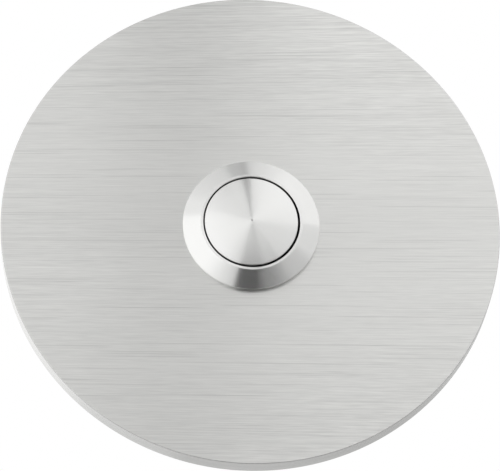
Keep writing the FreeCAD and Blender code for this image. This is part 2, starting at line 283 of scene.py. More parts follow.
def place(name: str, data: bpy.types.ID) -> bpy.types.Object:
    """Put an object with the given mesh or camera into the scene, at the origin.

    Args:
        name: the object's name.
        data: its mesh or camera.

    Returns:
        The new object.
    """
    placed = bpy.data.objects.new(name, data)
    bpy.context.scene.collection.objects.link(placed)
    return placed


def smooth(mesh: bpy.types.Mesh, sharp_degrees: float) -> None:
    """Shade a mesh smoothly, apart from edges that turn by more than the given angle."""
    mesh.polygons.foreach_set("use_smooth", np.ones(len(mesh.polygons), dtype=bool))
    mesh.set_sharp_from_angle(angle=math.radians(sharp_degrees))


def join_close(mesh: bpy.types.Mesh, gap: float, flat_degrees: float = 0.0) -> None:
    """Join points that lie closer than a gap, and then faces that lie in one plane.

    Args:
        mesh: the mesh to change.
        gap: the gap.
        flat_degrees: faces that turn by less than this count as one plane, 0 to leave them all.
    """
    work = bmesh.new()
    work.from_mesh(mesh)
    bmesh.ops.remove_doubles(work, verts=work.verts, dist=gap)
    if flat_degrees > 0.0:
        limit = math.radians(flat_degrees)
        bmesh.ops.dissolve_limit(
            work, angle_limit=limit, verts=work.verts, edges=work.edges, use_dissolve_boundaries=False
        )
    work.to_mesh(mesh)
    work.free()


def mesh_piece(
    name: str, points: np.ndarray, faces: np.ndarray, sharp_degrees: float = 32.0
) -> bpy.types.Object:
    """Make one piece from a grid of points: poles and seams are joined, and faces point outwards.

    Args:
        name: the piece's name.
        points: vertex positions in the frame.
        faces: vertex indices, four a face.
        sharp_degrees: edges that turn by more than this stay sharp.

    Returns:
        The new object, at the origin.
    """
    if signed_volume(points, faces) < 0.0:
        faces = faces[:, ::-1]
    mesh = bpy.data.meshes.new(name)
    mesh.from_pydata(points.tolist(), [], faces.tolist())
    join_close(mesh, SEAM_GAP)
    smooth(mesh, sharp_degrees)
    mesh.update()
    return place(name, mesh)


def ring_points(radius: np.ndarray, depth: np.ndarray, angle: np.ndarray) -> np.ndarray:
    """Points round the axis: radius r, depth y and angle a go to (r sin a, y, r cos a).

    Args:
        radius: distances from the axis, a row for each ring.
        depth: places along y.
        angle: angles about the axis, one for each column.

    Returns:
        An array of (x, y, z) rows, ring after ring.
    """
    return np.stack([radius * np.sin(angle), depth, radius * np.cos(angle)], axis=-1).reshape(-1, 3)


@dataclass(frozen=True)
class TurnedForm:
    """A closed surface turned about the y axis from a rounded outline.

    Attributes:
        corners: the outline. It is a loop, unless it starts and ends on the axis.
        segments: number of steps round the axis.
        arc_steps: number of steps along each rounded corner.
        thread: thread cut into the outermost surface, if any.
    """

    corners: tuple[Corner, ...]
    segments: int = 192
    arc_steps: int = 6
    thread: Thread | None = None

    def surface(self) -> tuple[np.ndarray, np.ndarray]:
        """Work out the surface.

        Each point of the outline becomes a ring. Where there is a thread, points on the outermost cylinder
        lose the thread's cut from their radius.

        Returns:
            Vertex positions and four-sided faces.
        """
        closed = self.corners[0].radius > 0.0
        outline = outline_points(self.corners, closed, self.arc_steps)
        angle = np.linspace(0.0, FULL_TURN, self.segments, endpoint=False)[None, :]
        radius = np.repeat(outline[:, :1], self.segments, axis=1)
        depth = np.repeat(outline[:, 1:], self.segments, axis=1)
        if self.thread is not None:
            inside = (depth > self.thread.start) & (depth < self.thread.end)
            crest = radius[inside].max()
            outer = inside & (radius > crest - CREST_SLACK)
            radius = np.where(outer, radius - self.thread.cut(depth, angle), radius)
        return ring_points(radius, depth, angle), grid_faces(len(outline), self.segments, closed)

    def piece(self, name: str) -> bpy.types.Object:
        """Make the surface as one piece.

        Args:
            name: the piece's name.

        Returns:
            The new object.
        """
        points, faces = self.surface()
        return mesh_piece(name, points, faces)


def joined_surfaces(surfaces: Sequence[tuple[np.ndarray, np.ndarray]]) -> tuple[np.ndarray, np.ndarray]:
    """Put several closed surfaces into one set of points and faces.

    Args:
        surfaces: the points and faces of each surface.

    Returns:
        The points one after another, and the faces with their indices moved on.
    """
    counts = np.cumsum([0] + [len(points) for points, _ in surfaces])
    points = np.vstack([points for points, _ in surfaces])
    faces = np.vstack([faces + start for (_, faces), start in zip(surfaces, counts)])
    return points, faces


def joined_copy(node: str, name: str) -> bpy.types.Object:
    """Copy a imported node's mesh, join its triangles and smooth its shading.

    Args:
        node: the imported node.
        name: the new piece's name.

    Returns:
        The new object.
    """
    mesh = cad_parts[node].data.copy()
    mesh.name = name
    mesh.materials.clear()
    join_close(mesh, PACKED_SEAM_GAP, FLAT_DEGREES)
    smooth(mesh, SHARP_DEGREES)
    return place(name, mesh)


def softened_copy(
    node: str, name: str, width: float, segments: int = 2, bevel_degrees: float = 38.0
) -> bpy.types.Object:
    """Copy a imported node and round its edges.

    Args:
        node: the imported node.
        name: the new piece's name.
        width: width of the rounded edge.
        segments: number of steps across it.
        bevel_degrees: edges that turn by more than this are rounded.

    Returns:
        The new object, with a bevel on it.
    """
    piece = joined_copy(node, name)
    bevel = piece.modifiers.new("soft_edges", "BEVEL")
    bevel.width = width
    bevel.segments = segments
    bevel.limit_method = "ANGLE"
    bevel.angle_limit = math.radians(bevel_degrees)
    bevel.harden_normals = False
    return piece


# Node groups that several finishes share


class NodeSheet:
    """A short way to add and link nodes in one node tree."""

    def __init__(self, tree: bpy.types.NodeTree) -> None:
        """Keep the tree.

        Args:
            tree: a material's, world's or group's node tree.
        """
        self.tree = tree

    def add(self, kind: str, **values: object) -> bpy.types.Node:
        """Add a node with its properties and inputs.

        Args:
            kind: the node's type.
            values: properties by name, or inputs by name, each a fixed value or a socket.

        Returns:
            The new node.
        """
        node = self.tree.nodes.new(kind)
        for key, value in values.items():
            if key in node.inputs:
                self.feed(node.inputs[key], value)
            else:
                setattr(node, key, value)
        return node

    def feed(self, target: bpy.types.NodeSocket, value: object) -> None:
        """Link an input to another node's socket, or give it a fixed value."""
        if isinstance(value, bpy.types.NodeSocket):
            self.tree.links.new(value, target)
        else:
            target.default_value = value

    def math(self, operation: str, *inputs: object, clamp: bool = False) -> bpy.types.NodeSocket:
        """Add a math node.

        Args:
            operation: the node's operation.
            inputs: numbers or sockets, in order.
            clamp: whether the result is kept between 0 and 1.

        Returns:
            The result's socket.
        """
        node = self.add("ShaderNodeMath", operation=operation, use_clamp=clamp)
        for target, value in zip(node.inputs, inputs):
            self.feed(target, value)
        return node.outputs[0]

    def vector_math(self, operation: str, *inputs: object) -> bpy.types.NodeSocket:
        """Add a vector math node.

        Args:
            operation: the node's operation.
            inputs: vectors or sockets, in order.

        Returns:
            The result's socket.
        """
        node = self.add("ShaderNodeVectorMath", operation=operation)
        for target, value in zip(node.inputs, inputs):
            self.feed(target, value)
        return node.outputs[0]

    def group(self, tree: bpy.types.NodeTree, **inputs: object) -> dict[str, bpy.types.NodeSocket]:
        """Add a node group.

        Args:
            tree: the group.
            inputs: its inputs by name, each a fixed value or a socket.

        Returns:
            The sockets of its results, by name.
        """
        return dict(self.add("ShaderNodeGroup", node_tree=tree, **inputs).outputs.items())

    def vector(self, x: object, y: object, z: object) -> bpy.types.NodeSocket:
        """Put three numbers or sockets together into a vector."""
        return self.add("ShaderNodeCombineXYZ", X=x, Y=y, Z=z).outputs[0]

    def noise(
        self, vector: bpy.types.NodeSocket, scale: object, detail: float, octave_share: float
    ) -> bpy.types.NodeSocket:
        """Add a noise.

        Args:
            vector: the place's socket.
            scale: waves per metre, a number or a socket.
            detail: number of finer octaves.
            octave_share: how much weaker each finer octave is.

        Returns:
            The socket of its value, from 0 to 1.
        """
        node = self.add(
            "ShaderNodeTexNoise", Vector=vector, Scale=scale, Detail=detail, Roughness=octave_share
        )
        return node.outputs[0]

    def spread(self, value: bpy.types.NodeSocket, low: float, high: float) -> bpy.types.NodeSocket:
        """Map a value from 0..1 onto a range.

        Args:
            value: the value's socket.
            low: the result at 0.
            high: the result at 1.

        Returns:
            The result's socket.
        """
        return self.math("ADD", self.math("MULTIPLY", value, high - low), low)

    def tinted(self, colour: tuple[float, float, float], level: bpy.types.NodeSocket) -> bpy.types.NodeSocket:
        """Multiply a fixed colour by a level.

        Args:
            colour: red, green and blue.
            level: the level's socket.

        Returns:
            The colour's socket.
        """
        return self.add("ShaderNodeVectorMath", operation="SCALE", Vector=colour, Scale=level).outputs[0]

    def relief(self, height: bpy.types.NodeSocket, strength: float, depth: float) -> bpy.types.NodeSocket:
        """Turn a height into a relief on the surface.

        Args:
            height: the height's socket, from 0 to 1.
            strength: strength of the relief.
            depth: height of the relief at full strength.

        Returns:
            The normal's socket.
        """
        return self.add("ShaderNodeBump", Strength=strength, Distance=depth, Height=height).outputs[0]


def new_material(name: str) -> tuple[bpy.types.Material, NodeSheet]:
    """Start a material.

    Args:
        name: the material's name.

    Returns:
        The material and its sheet.
    """
    material = bpy.data.materials.new(name)
    material.use_nodes = True
    return material, NodeSheet(material.node_tree)


def new_group(name: str, inputs: dict[str, str], outputs: dict[str, str]) -> tuple[NodeSheet, dict, dict]:
    """Start a shader node group with named sockets.

    Args:
        name: the group's name.
        inputs: socket types by input name.
        outputs: socket types by output name.

    Returns:
        The group's sheet, its input sockets and its output sockets.
    """
    tree = bpy.data.node_groups.new(name, "ShaderNodeTree")
    for label, kind in inputs.items():
        tree.interface.new_socket(name=label, in_out="INPUT", socket_type=kind)
    for label, kind in outputs.items():
        tree.interface.new_socket(name=label, in_out="OUTPUT", socket_type=kind)
    sheet = NodeSheet(tree)
    entry = sheet.add("NodeGroupInput")
    leave = sheet.add("NodeGroupOutput")
    given = {label: entry.outputs[label] for label in inputs}
    made = {label: leave.inputs[label] for label in outputs}
    return sheet, given, made


@dataclass(frozen=True)
class Stretch:
    """One noise among those that make up the abrasive lines.

    Attributes:
        along: multiple of the finish's own scale along the lay.
        across: multiple of its scale across the lay.
        offset: how far the noise is moved aside, so that no two of them agree.
        detail: number of finer octaves.
        rows: whether it falls into straight rows that differ from one to the next.
    """

    along: float
    across: float
    offset: float
    detail: float = 0.0
    rows: bool = False


@dataclass(frozen=True)
class LineRecipe:
    """The noises of the abrasive lines and their shares.

    Attributes:
        broad, fine, long: the three kinds of lines.
        broad_share, fine_share, long_share: their shares of the tone, 1 in all.
        scratch: noise whose peaks are single deeper scratches.
        scratch_start: height at which a peak becomes a scratch.
        scratch_rise: how fast it darkens above that.
        patch: soft patches.
        wear: places where the lines are stronger.
        wear_gain: strength of the lines where that noise is 1.
        octave_share: how much weaker each finer octave of a noise is.
        row_step: length of a step along a row, short enough not to show.
        row_jump: distance in the noise from one row to the next.
    """

    broad: Stretch = Stretch(1.0, 1.0, 0.0, detail=1.0)
    fine: Stretch = Stretch(4.6, 1.7, 17.3, detail=1.0, rows=True)
    long: Stretch = Stretch(0.8, 1.4, 53.9, rows=True)
    broad_share: float = 0.22
    fine_share: float = 0.48
    long_share: float = 0.30
    scratch: Stretch = Stretch(0.8, 1.5, 41.7, rows=True)
    scratch_start: float = 0.67
    scratch_rise: float = 10.0
    patch: Stretch = Stretch(0.3, 0.04, 77.1, detail=1.0)
    wear: Stretch = Stretch(0.25, 0.006, 31.3)
    wear_gain: float = 4.4
    octave_share: float = 0.5
    row_step: float = 0.001
    row_jump: float = 7.31


def drawn_lines_group(recipe: LineRecipe = LineRecipe()) -> bpy.types.NodeTree:
    """Lines left by abrasive, from noise that is stretched along the lay.

    Its vector runs along the lay in X and across it in Y and Z, in metres.

    Args:
        recipe: the noises and their shares.

    Returns:
        The group, with a tone, a height, a scratch mask and patches, all from 0 to 1.
    """
    number = "NodeSocketFloat"
    sheet, given, made = new_group(
        "drawn_lines",
        {"Lay": "NodeSocketVector", "Across": number, "Along": number},
        {"Tone": number, "Height": number, "Scratch": number, "Patch": number},
    )
    scale = sheet.vector(given["Along"], given["Across"], given["Across"])
    lay = sheet.vector_math("MULTIPLY", given["Lay"], scale)

    def layer(noise_kind: Stretch) -> bpy.types.NodeSocket:
        """One stretched noise, in rows where the place across the lay is rounded down and spread out."""
        ratio = (noise_kind.along, noise_kind.across, noise_kind.across)
        reading = sheet.vector_math("MULTIPLY_ADD", lay, ratio, (noise_kind.offset,) * 3)
        if noise_kind.rows:
            snapped = sheet.vector_math("SNAP", reading, (recipe.row_step, 1.0, recipe.row_step))
            reading = sheet.vector_math("MULTIPLY", snapped, (1.0, recipe.row_jump, 1.0))
        return sheet.noise(reading, 1.0, noise_kind.detail, recipe.octave_share)

    broad = sheet.math("MULTIPLY", layer(recipe.broad), recipe.broad_share)
    fine = sheet.math("MULTIPLY", layer(recipe.fine), recipe.fine_share)
    long = sheet.math("MULTIPLY", layer(recipe.long), recipe.long_share)
    tone = sheet.math("ADD", sheet.math("ADD", broad, fine), long)
    strength = sheet.math("MULTIPLY", layer(recipe.wear), recipe.wear_gain)
    around = sheet.math("SUBTRACT", tone, 0.5)
    peak = sheet.math("SUBTRACT", layer(recipe.scratch), recipe.scratch_start)
    sheet.feed(made["Tone"], sheet.math("MULTIPLY_ADD", around, strength, 0.5, clamp=True))
    sheet.feed(made["Height"], tone)
    sheet.feed(made["Scratch"], sheet.math("MULTIPLY", peak, recipe.scratch_rise, clamp=True))
    sheet.feed(made["Patch"], layer(recipe.patch))
    return sheet.tree


def specks_group(
    rarity: float = 0.86, haze_scale: float = 42.0, haze_gain: float = 1.6
) -> bpy.types.NodeTree:
    """Tiny dark specks and faint soiling, from cells and a broad noise over the piece's own coordinates.

    Args:
        rarity: share of the cells that hold no speck, told by the cell's random colour.
        haze_scale: patches of soiling per metre.
        haze_gain: how sharply they stand out.

    Returns:
        The group, with a speck mask and a soiling mask, both from 0 to 1.
    """
    number = "NodeSocketFloat"
    sheet, given, made = new_group(
        "specks_and_soiling",
        {"Position": "NodeSocketVector", "Density": number, "Size": number},
        {"Speck": number, "Soiling": number},
    )
    cells = sheet.add("ShaderNodeTexVoronoi", Vector=given["Position"], Scale=given["Density"])
    red = sheet.add("ShaderNodeSeparateColor", Color=cells.outputs["Color"]).outputs[0]
    chosen = sheet.math("GREATER_THAN", red, rarity)
    close = sheet.math("LESS_THAN", cells.outputs["Distance"], given["Size"])
    sheet.feed(made["Speck"], sheet.math("MULTIPLY", chosen, close))
    haze = sheet.noise(given["Position"], haze_scale, 3.0, 0.6)
    around = sheet.math("SUBTRACT", haze, 0.5)
    sheet.feed(made["Soiling"], sheet.math("MULTIPLY_ADD", around, haze_gain, 0.5, clamp=True))
    return sheet.tree


def moulded_grain_group(broad_scale: float = 260.0) -> bpy.types.NodeTree:
    """Fine moulded or rubber grain, from two noises over the piece's own coordinates.

    Args:
        broad_scale: patches of lighter and darker tone per metre.

    Returns:
        The group, with a tone and a height, both from 0 to 1.
    """
    number = "NodeSocketFloat"
    sheet, given, made = new_group(
        "moulded_grain",
        {"Position": "NodeSocketVector", "Grain": number},
        {"Tone": number, "Height": number},
    )
    sheet.feed(made["Tone"], sheet.noise(given["Position"], broad_scale, 2.0, 0.5))
    sheet.feed(made["Height"], sheet.noise(given["Position"], given["Grain"], 3.0, 0.65))
    return sheet.tree


@dataclass
class SharedEffects:
    """The node groups, built once and placed in each finish.

    Attributes:
        lines: abrasive lines.
        specks: specks and soiling.
        grain: moulded grain.
    """

    lines: bpy.types.NodeTree = field(default_factory=drawn_lines_group)
    specks: bpy.types.NodeTree = field(default_factory=specks_group)
    grain: bpy.types.NodeTree = field(default_factory=moulded_grain_group)


# Finishes


class Lay(Enum):
    """The direction in which the lines of a metal finish run."""

    STRAIGHT = "straight"
    TURNED = "turned"


@dataclass(frozen=True)
class MetalFinish:
    """A metal with lines left by its making.

    Attributes:
        name: the material's name.
        colour: base colour.
        lay: direction of the lines.
        roughness: roughness of the surface.
        anisotropy: how far reflections spread across the lines.
        across: lines per metre across the lay.
        along: their changes per metre along the lay.
        contrast: how much the lines darken the colour.
        relief: strength of the lines' relief.
        roughness_spread: how much the soft patches change the roughness.
        scratches: how much the single scratches darken the colour.
        specks: how much the tiny specks darken the colour.
        soiling: how much the faint soiling darkens the colour.
        speck_density: cells for the specks, per metre.
        speck_size: radius of a speck as a share of a cell.
        centre_mark: radius of the small mark that the lathe leaves on the axis, 0 for none.
        mark_tone: how bright the mark is, 1 for as bright as the rest.
        relief_depth: height of the lines' relief at full strength.
        depth_share: share of the depth that is added to the radius across turned lines.
        tilt: slope of straight lines through the middle.
        fan: change of that slope per metre of height.
    """

    name: str
    colour: tuple[float, float, float]
    lay: Lay
    roughness: float
    anisotropy: float = 0.0
    across: float = 2600.0
    along: float = 70.0
    contrast: float = 0.08
    relief: float = 0.05
    roughness_spread: float = 0.02
    scratches: float = 0.0
    specks: float = 0.0
    soiling: float = 0.03
    speck_density: float = 150.0
    speck_size: float = 0.022
    centre_mark: float = 0.0
    mark_tone: float = 0.45
    relief_depth: float = 0.02 * MM
    depth_share: float = 0.7
    tilt: float = 0.0
    fan: float = 0.0

    def lay_vectors(
        self, sheet: NodeSheet, position: bpy.types.NodeSocket
    ) -> tuple[bpy.types.NodeSocket, bpy.types.NodeSocket, bpy.types.NodeSocket]:
        """Work out the pattern's coordinates and the direction of the lines.

        Straight lines run along x, and z shifts by a tilt and a fan, so that they lean as hand-fed work does.
        Turned lines run round the axis: the pattern reads the sine and cosine of the angle, which have no
        seam, and the radius and depth across the lines. Their direction is the axis crossed with the
        position.

        Args:
            sheet: the material's sheet.
            position: object coordinates.

        Returns:
            The pattern's vector, the direction of the lines, and the radius from the axis.
        """
        x, y, z = sheet.add("ShaderNodeSeparateXYZ", Vector=position).outputs
        squares = sheet.math("ADD", sheet.math("MULTIPLY", x, x), sheet.math("MULTIPLY", z, z))
        radius = sheet.math("SQRT", squares)
        if self.lay is Lay.TURNED:
            safe = sheet.math("MAXIMUM", radius, AXIS_RADIUS)
            sine, cosine = sheet.math("DIVIDE", x, safe), sheet.math("DIVIDE", z, safe)
            lines = (
                sheet.math("MULTIPLY", sine, TURN_RADIUS),
                sheet.math("MULTIPLY_ADD", y, self.depth_share, radius),
                sheet.math("MULTIPLY", cosine, TURN_RADIUS * self.along / self.across),
            )
            direction = (z, 0.0, sheet.math("MULTIPLY", x, -1.0))
        else:
            lean = sheet.math("MULTIPLY", x, sheet.math("MULTIPLY_ADD", z, self.fan, self.tilt))
            lines = (x, sheet.math("ADD", z, lean), y)
            direction = (1.0, 0.0, 0.0)
        return sheet.vector(*lines), sheet.vector(*direction), radius

    def build(self, effects: SharedEffects) -> bpy.types.Material:
        """Make the material.

        Args:
            effects: the shared node groups.

        Returns:
            The new material.
        """
        material, sheet = new_material(self.name)
        shader = sheet.tree.nodes["Principled BSDF"]
        shader.inputs["Metallic"].default_value = 1.0
        shader.inputs["Anisotropic"].default_value = self.anisotropy
        position = sheet.add("ShaderNodeTexCoord").outputs["Object"]
        vector, direction, radius = self.lay_vectors(sheet, position)
        lines = sheet.group(effects.lines, Lay=vector, Across=self.across, Along=self.along)
        specks = sheet.group(
            effects.specks, Position=position, Density=self.speck_density, Size=self.speck_size
        )
        tone = sheet.spread(lines["Tone"], 1.0 + self.contrast, 1.0 - self.contrast)
        haze = sheet.spread(specks["Soiling"], 1.0, 1.0 - self.soiling)
        spot = sheet.spread(specks["Speck"], 1.0, 1.0 - self.specks)
        deep = sheet.spread(lines["Scratch"], 1.0, 1.0 - self.scratches)
        level = sheet.math("MULTIPLY", sheet.math("MULTIPLY", tone, haze), sheet.math("MULTIPLY", spot, deep))
        if self.centre_mark > 0.0:
            mark = sheet.math("LESS_THAN", radius, self.centre_mark)
            level = sheet.math("MULTIPLY", level, sheet.spread(mark, 1.0, self.mark_tone))
        smoother, rougher = self.roughness - self.roughness_spread, self.roughness + self.roughness_spread
        sheet.feed(shader.inputs["Base Color"], sheet.tinted(self.colour, level))
        sheet.feed(shader.inputs["Roughness"], sheet.spread(lines["Patch"], smoother, rougher))
        if self.anisotropy > 0.0:
            shader.inputs["Anisotropic Rotation"].default_value = QUARTER_TURN
            sheet.feed(shader.inputs["Tangent"], direction)
        bumps = sheet.relief(lines["Height"], self.relief, self.relief_depth)
        sheet.feed(shader.inputs["Normal"], bumps)
        return material


@dataclass(frozen=True)
class MouldedFinish:
    """Plastic or rubber with a fine grain.

    Attributes:
        name: the material's name.
        colour: base colour.
        roughness: roughness of the surface.
        grain: grains per metre.
        relief: strength of the grain's relief.
        variation: how much the colour changes over the piece.
        roughness_spread: how much soiling changes the roughness.
        speck_density: cells for the specks, per metre.
        speck_size: radius of a speck as a share of a cell.
        relief_depth: height of the grain's relief at full strength.
    """

    name: str
    colour: tuple[float, float, float]
    roughness: float
    grain: float = 6000.0
    relief: float = 0.15
    variation: float = 0.12
    roughness_spread: float = 0.06
    speck_density: float = 600.0
    speck_size: float = 0.05
    relief_depth: float = 0.03 * MM

    def build(self, effects: SharedEffects) -> bpy.types.Material:
        """Make the material.

        Args:
            effects: the shared node groups.

        Returns:
            The new material.
        """
        material, sheet = new_material(self.name)
        shader = sheet.tree.nodes["Principled BSDF"]
        position = sheet.add("ShaderNodeTexCoord").outputs["Object"]
        grain = sheet.group(effects.grain, Position=position, Grain=self.grain)
        specks = sheet.group(
            effects.specks, Position=position, Density=self.speck_density, Size=self.speck_size
        )
        level = sheet.spread(grain["Tone"], 1.0 - self.variation, 1.0 + self.variation)
        smoother, rougher = self.roughness - self.roughness_spread, self.roughness + self.roughness_spread
        bumps = sheet.relief(grain["Height"], self.relief, self.relief_depth)
        sheet.feed(shader.inputs["Base Color"], sheet.tinted(self.colour, level))
        sheet.feed(shader.inputs["Roughness"], sheet.spread(specks["Soiling"], smoother, rougher))
        sheet.feed(shader.inputs["Normal"], bumps)
        return material


class Finish(Enum):
    """The finishes of the object, each with its values."""

    PLATE_FACE = MetalFinish(
        "plate_face_steel", (0.734, 0.734, 0.718), Lay.STRAIGHT, 0.298, anisotropy=0.99, across=3700.0,
        along=50.0, contrast=0.12, relief=0.06, roughness_spread=0.012, scratches=0.11, specks=0.3,
        soiling=0.02, tilt=-0.0218, fan=-0.47,
    )
    PLATE_RIM = MetalFinish(
        "plate_rim_steel", (0.84, 0.84, 0.825), Lay.TURNED, 0.26, anisotropy=0.5, across=3200.0, along=60.0,
        contrast=0.06, relief=0.05,
    )
    # Painted shade: the narrow rounding between the plate's face and its rim has a darker steel colour, which
    # draws a dark line there in place of the edge's highlight.
    PLATE_EDGE_PAINTED_SHADE = MetalFinish(
        "plate_edge_steel_painted_shade", (0.52, 0.52, 0.51), Lay.TURNED, 0.34, across=3200.0, along=60.0, contrast=0.1,
        relief=0.05,
    )
    TURNED = MetalFinish(
        "turned_steel", (0.69, 0.69, 0.68), Lay.TURNED, 0.249, anisotropy=1.0, across=5200.0, along=60.0,
        contrast=0.025, relief=0.03, roughness_spread=0.01, soiling=0.02,
    )
    SIDE_WALL = MetalFinish(
        "side_wall_steel", (0.69, 0.69, 0.68), Lay.TURNED, 0.16, anisotropy=0.4, across=5200.0, along=60.0,
        contrast=0.03, relief=0.02, roughness_spread=0.01, soiling=0.04,
    )
    CAP = MetalFinish(
        "cap_steel", (0.69, 0.69, 0.68), Lay.TURNED, 0.249, anisotropy=1.0, across=5200.0, along=60.0,
        contrast=0.02, relief=0.03, roughness_spread=0.01, soiling=0.02, centre_mark=0.16 * MM,
    )
    THREADED = MetalFinish(
        "threaded_steel", (0.55, 0.55, 0.55), Lay.TURNED, 0.34, anisotropy=0.3, across=4200.0, along=90.0,
        contrast=0.08, relief=0.05, soiling=0.1,
    )
    # Painted shade: the walls inside the narrow gap round the cap get a much darker steel colour, which
    # stands in for the shade that falls in that gap.
    GAP_WALL_PAINTED_SHADE = MetalFinish(
        "gap_wall_steel_painted_shade", (0.20, 0.20, 0.20), Lay.TURNED, 0.30, anisotropy=0.3, across=4200.0, along=90.0,
        contrast=0.08, relief=0.05, soiling=0.3,
    )
    PLATED = MetalFinish(
        "plated_steel", (0.60, 0.61, 0.62), Lay.STRAIGHT, 0.30, across=3800.0, along=900.0, contrast=0.06,
        relief=0.05, soiling=0.12,
    )
    SPRING = MetalFinish(
        "spring_steel", (0.42, 0.42, 0.43), Lay.STRAIGHT, 0.33, across=5200.0, along=400.0, contrast=0.08,
        soiling=0.1,
    )
    BRASS = MetalFinish(
        "turned_brass", (0.70, 0.52, 0.24), Lay.TURNED, 0.30, anisotropy=0.4, across=5200.0, along=80.0,
        contrast=0.06, soiling=0.15,
    )
    BRONZE = MetalFinish(
        "rolled_bronze", (0.60, 0.42, 0.24), Lay.STRAIGHT, 0.32, anisotropy=0.4, across=4200.0, along=120.0,
        contrast=0.06, soiling=0.1,
    )
    SILVER = MetalFinish(
        "contact_silver", (0.86, 0.85, 0.82), Lay.TURNED, 0.22, anisotropy=0.2, across=5200.0, along=60.0,
        contrast=0.05, soiling=0.08,
    )
    RUBBER = MouldedFinish("black_rubber", (0.018, 0.018, 0.019), 0.62, grain=5200.0, relief=0.25)
    BLACK_PLASTIC = MouldedFinish("black_plastic", (0.026, 0.026, 0.028), 0.46, grain=4200.0, relief=0.18)
    WHITE_PLASTIC = MouldedFinish(
        "white_plastic", (0.78, 0.78, 0.74), 0.42, grain=4200.0, relief=0.1, variation=0.03
    )


@dataclass
class FinishShop:
    """Builds each finish once.

    Attributes:
        effects: the shared node groups.
        made: materials that exist already, by finish.
    """

    effects: SharedEffects = field(default_factory=SharedEffects)
    made: dict[Finish, bpy.types.Material] = field(default_factory=dict)

    def get(self, finish: Finish) -> bpy.types.Material:
        """The material of a finish, built on first use."""
        if finish not in self.made:
            self.made[finish] = finish.value.build(self.effects)
        return self.made[finish]

    def redress(self, node: str, finish: Finish) -> None:
        """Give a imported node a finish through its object's own slots; its mesh stays as it is."""
        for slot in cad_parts[node].material_slots:
            slot.link = "OBJECT"
            slot.material = self.get(finish)
        log.info("%s keeps its packed shape", node)

    def dress(self, piece: bpy.types.Object, finish: Finish) -> None:
        """Give a whole piece one finish, in place of the materials that it has."""
        piece.data.materials.clear()
        piece.data.materials.append(self.get(finish))

    def dress_faces(
        self, piece: bpy.types.Object, finish: Finish, chosen: Callable[[np.ndarray, np.ndarray], np.ndarray]
    ) -> None:
        """Give some faces of a piece another finish.

        Args:
            piece: a piece that has its first finish.
            finish: the other finish.
            chosen: takes the radii and depths of the faces' middles and says which of them change.
        """
        mesh = piece.data
        mesh.materials.append(self.get(finish))
        centres = np.empty(3 * len(mesh.polygons))
        mesh.polygons.foreach_get("center", centres)
        index = np.zeros(len(mesh.polygons), dtype=np.int32)
        mesh.polygons.foreach_get("material_index", index)
        x, depth, z = centres.reshape(-1, 3).T
        index[chosen(np.hypot(x, z), depth)] = len(mesh.materials) - 1
        mesh.polygons.foreach_set("material_index", index)


# The object's sub-assemblies


@dataclass
class Assembly:
    """Pieces that belong together.

    Attributes:
        shop: the finishes.
    """

    shop: FinishShop

    def install(self, piece: bpy.types.Object, finish: Finish, body: str, slot: str, *nodes: str) -> None:
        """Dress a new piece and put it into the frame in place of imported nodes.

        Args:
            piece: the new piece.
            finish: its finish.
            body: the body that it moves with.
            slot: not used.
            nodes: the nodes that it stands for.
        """
        self.shop.dress(piece, finish)
        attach(piece, body)
        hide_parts(*nodes)
        log.info("%s stands for %s", piece.name, ", ".join(nodes))


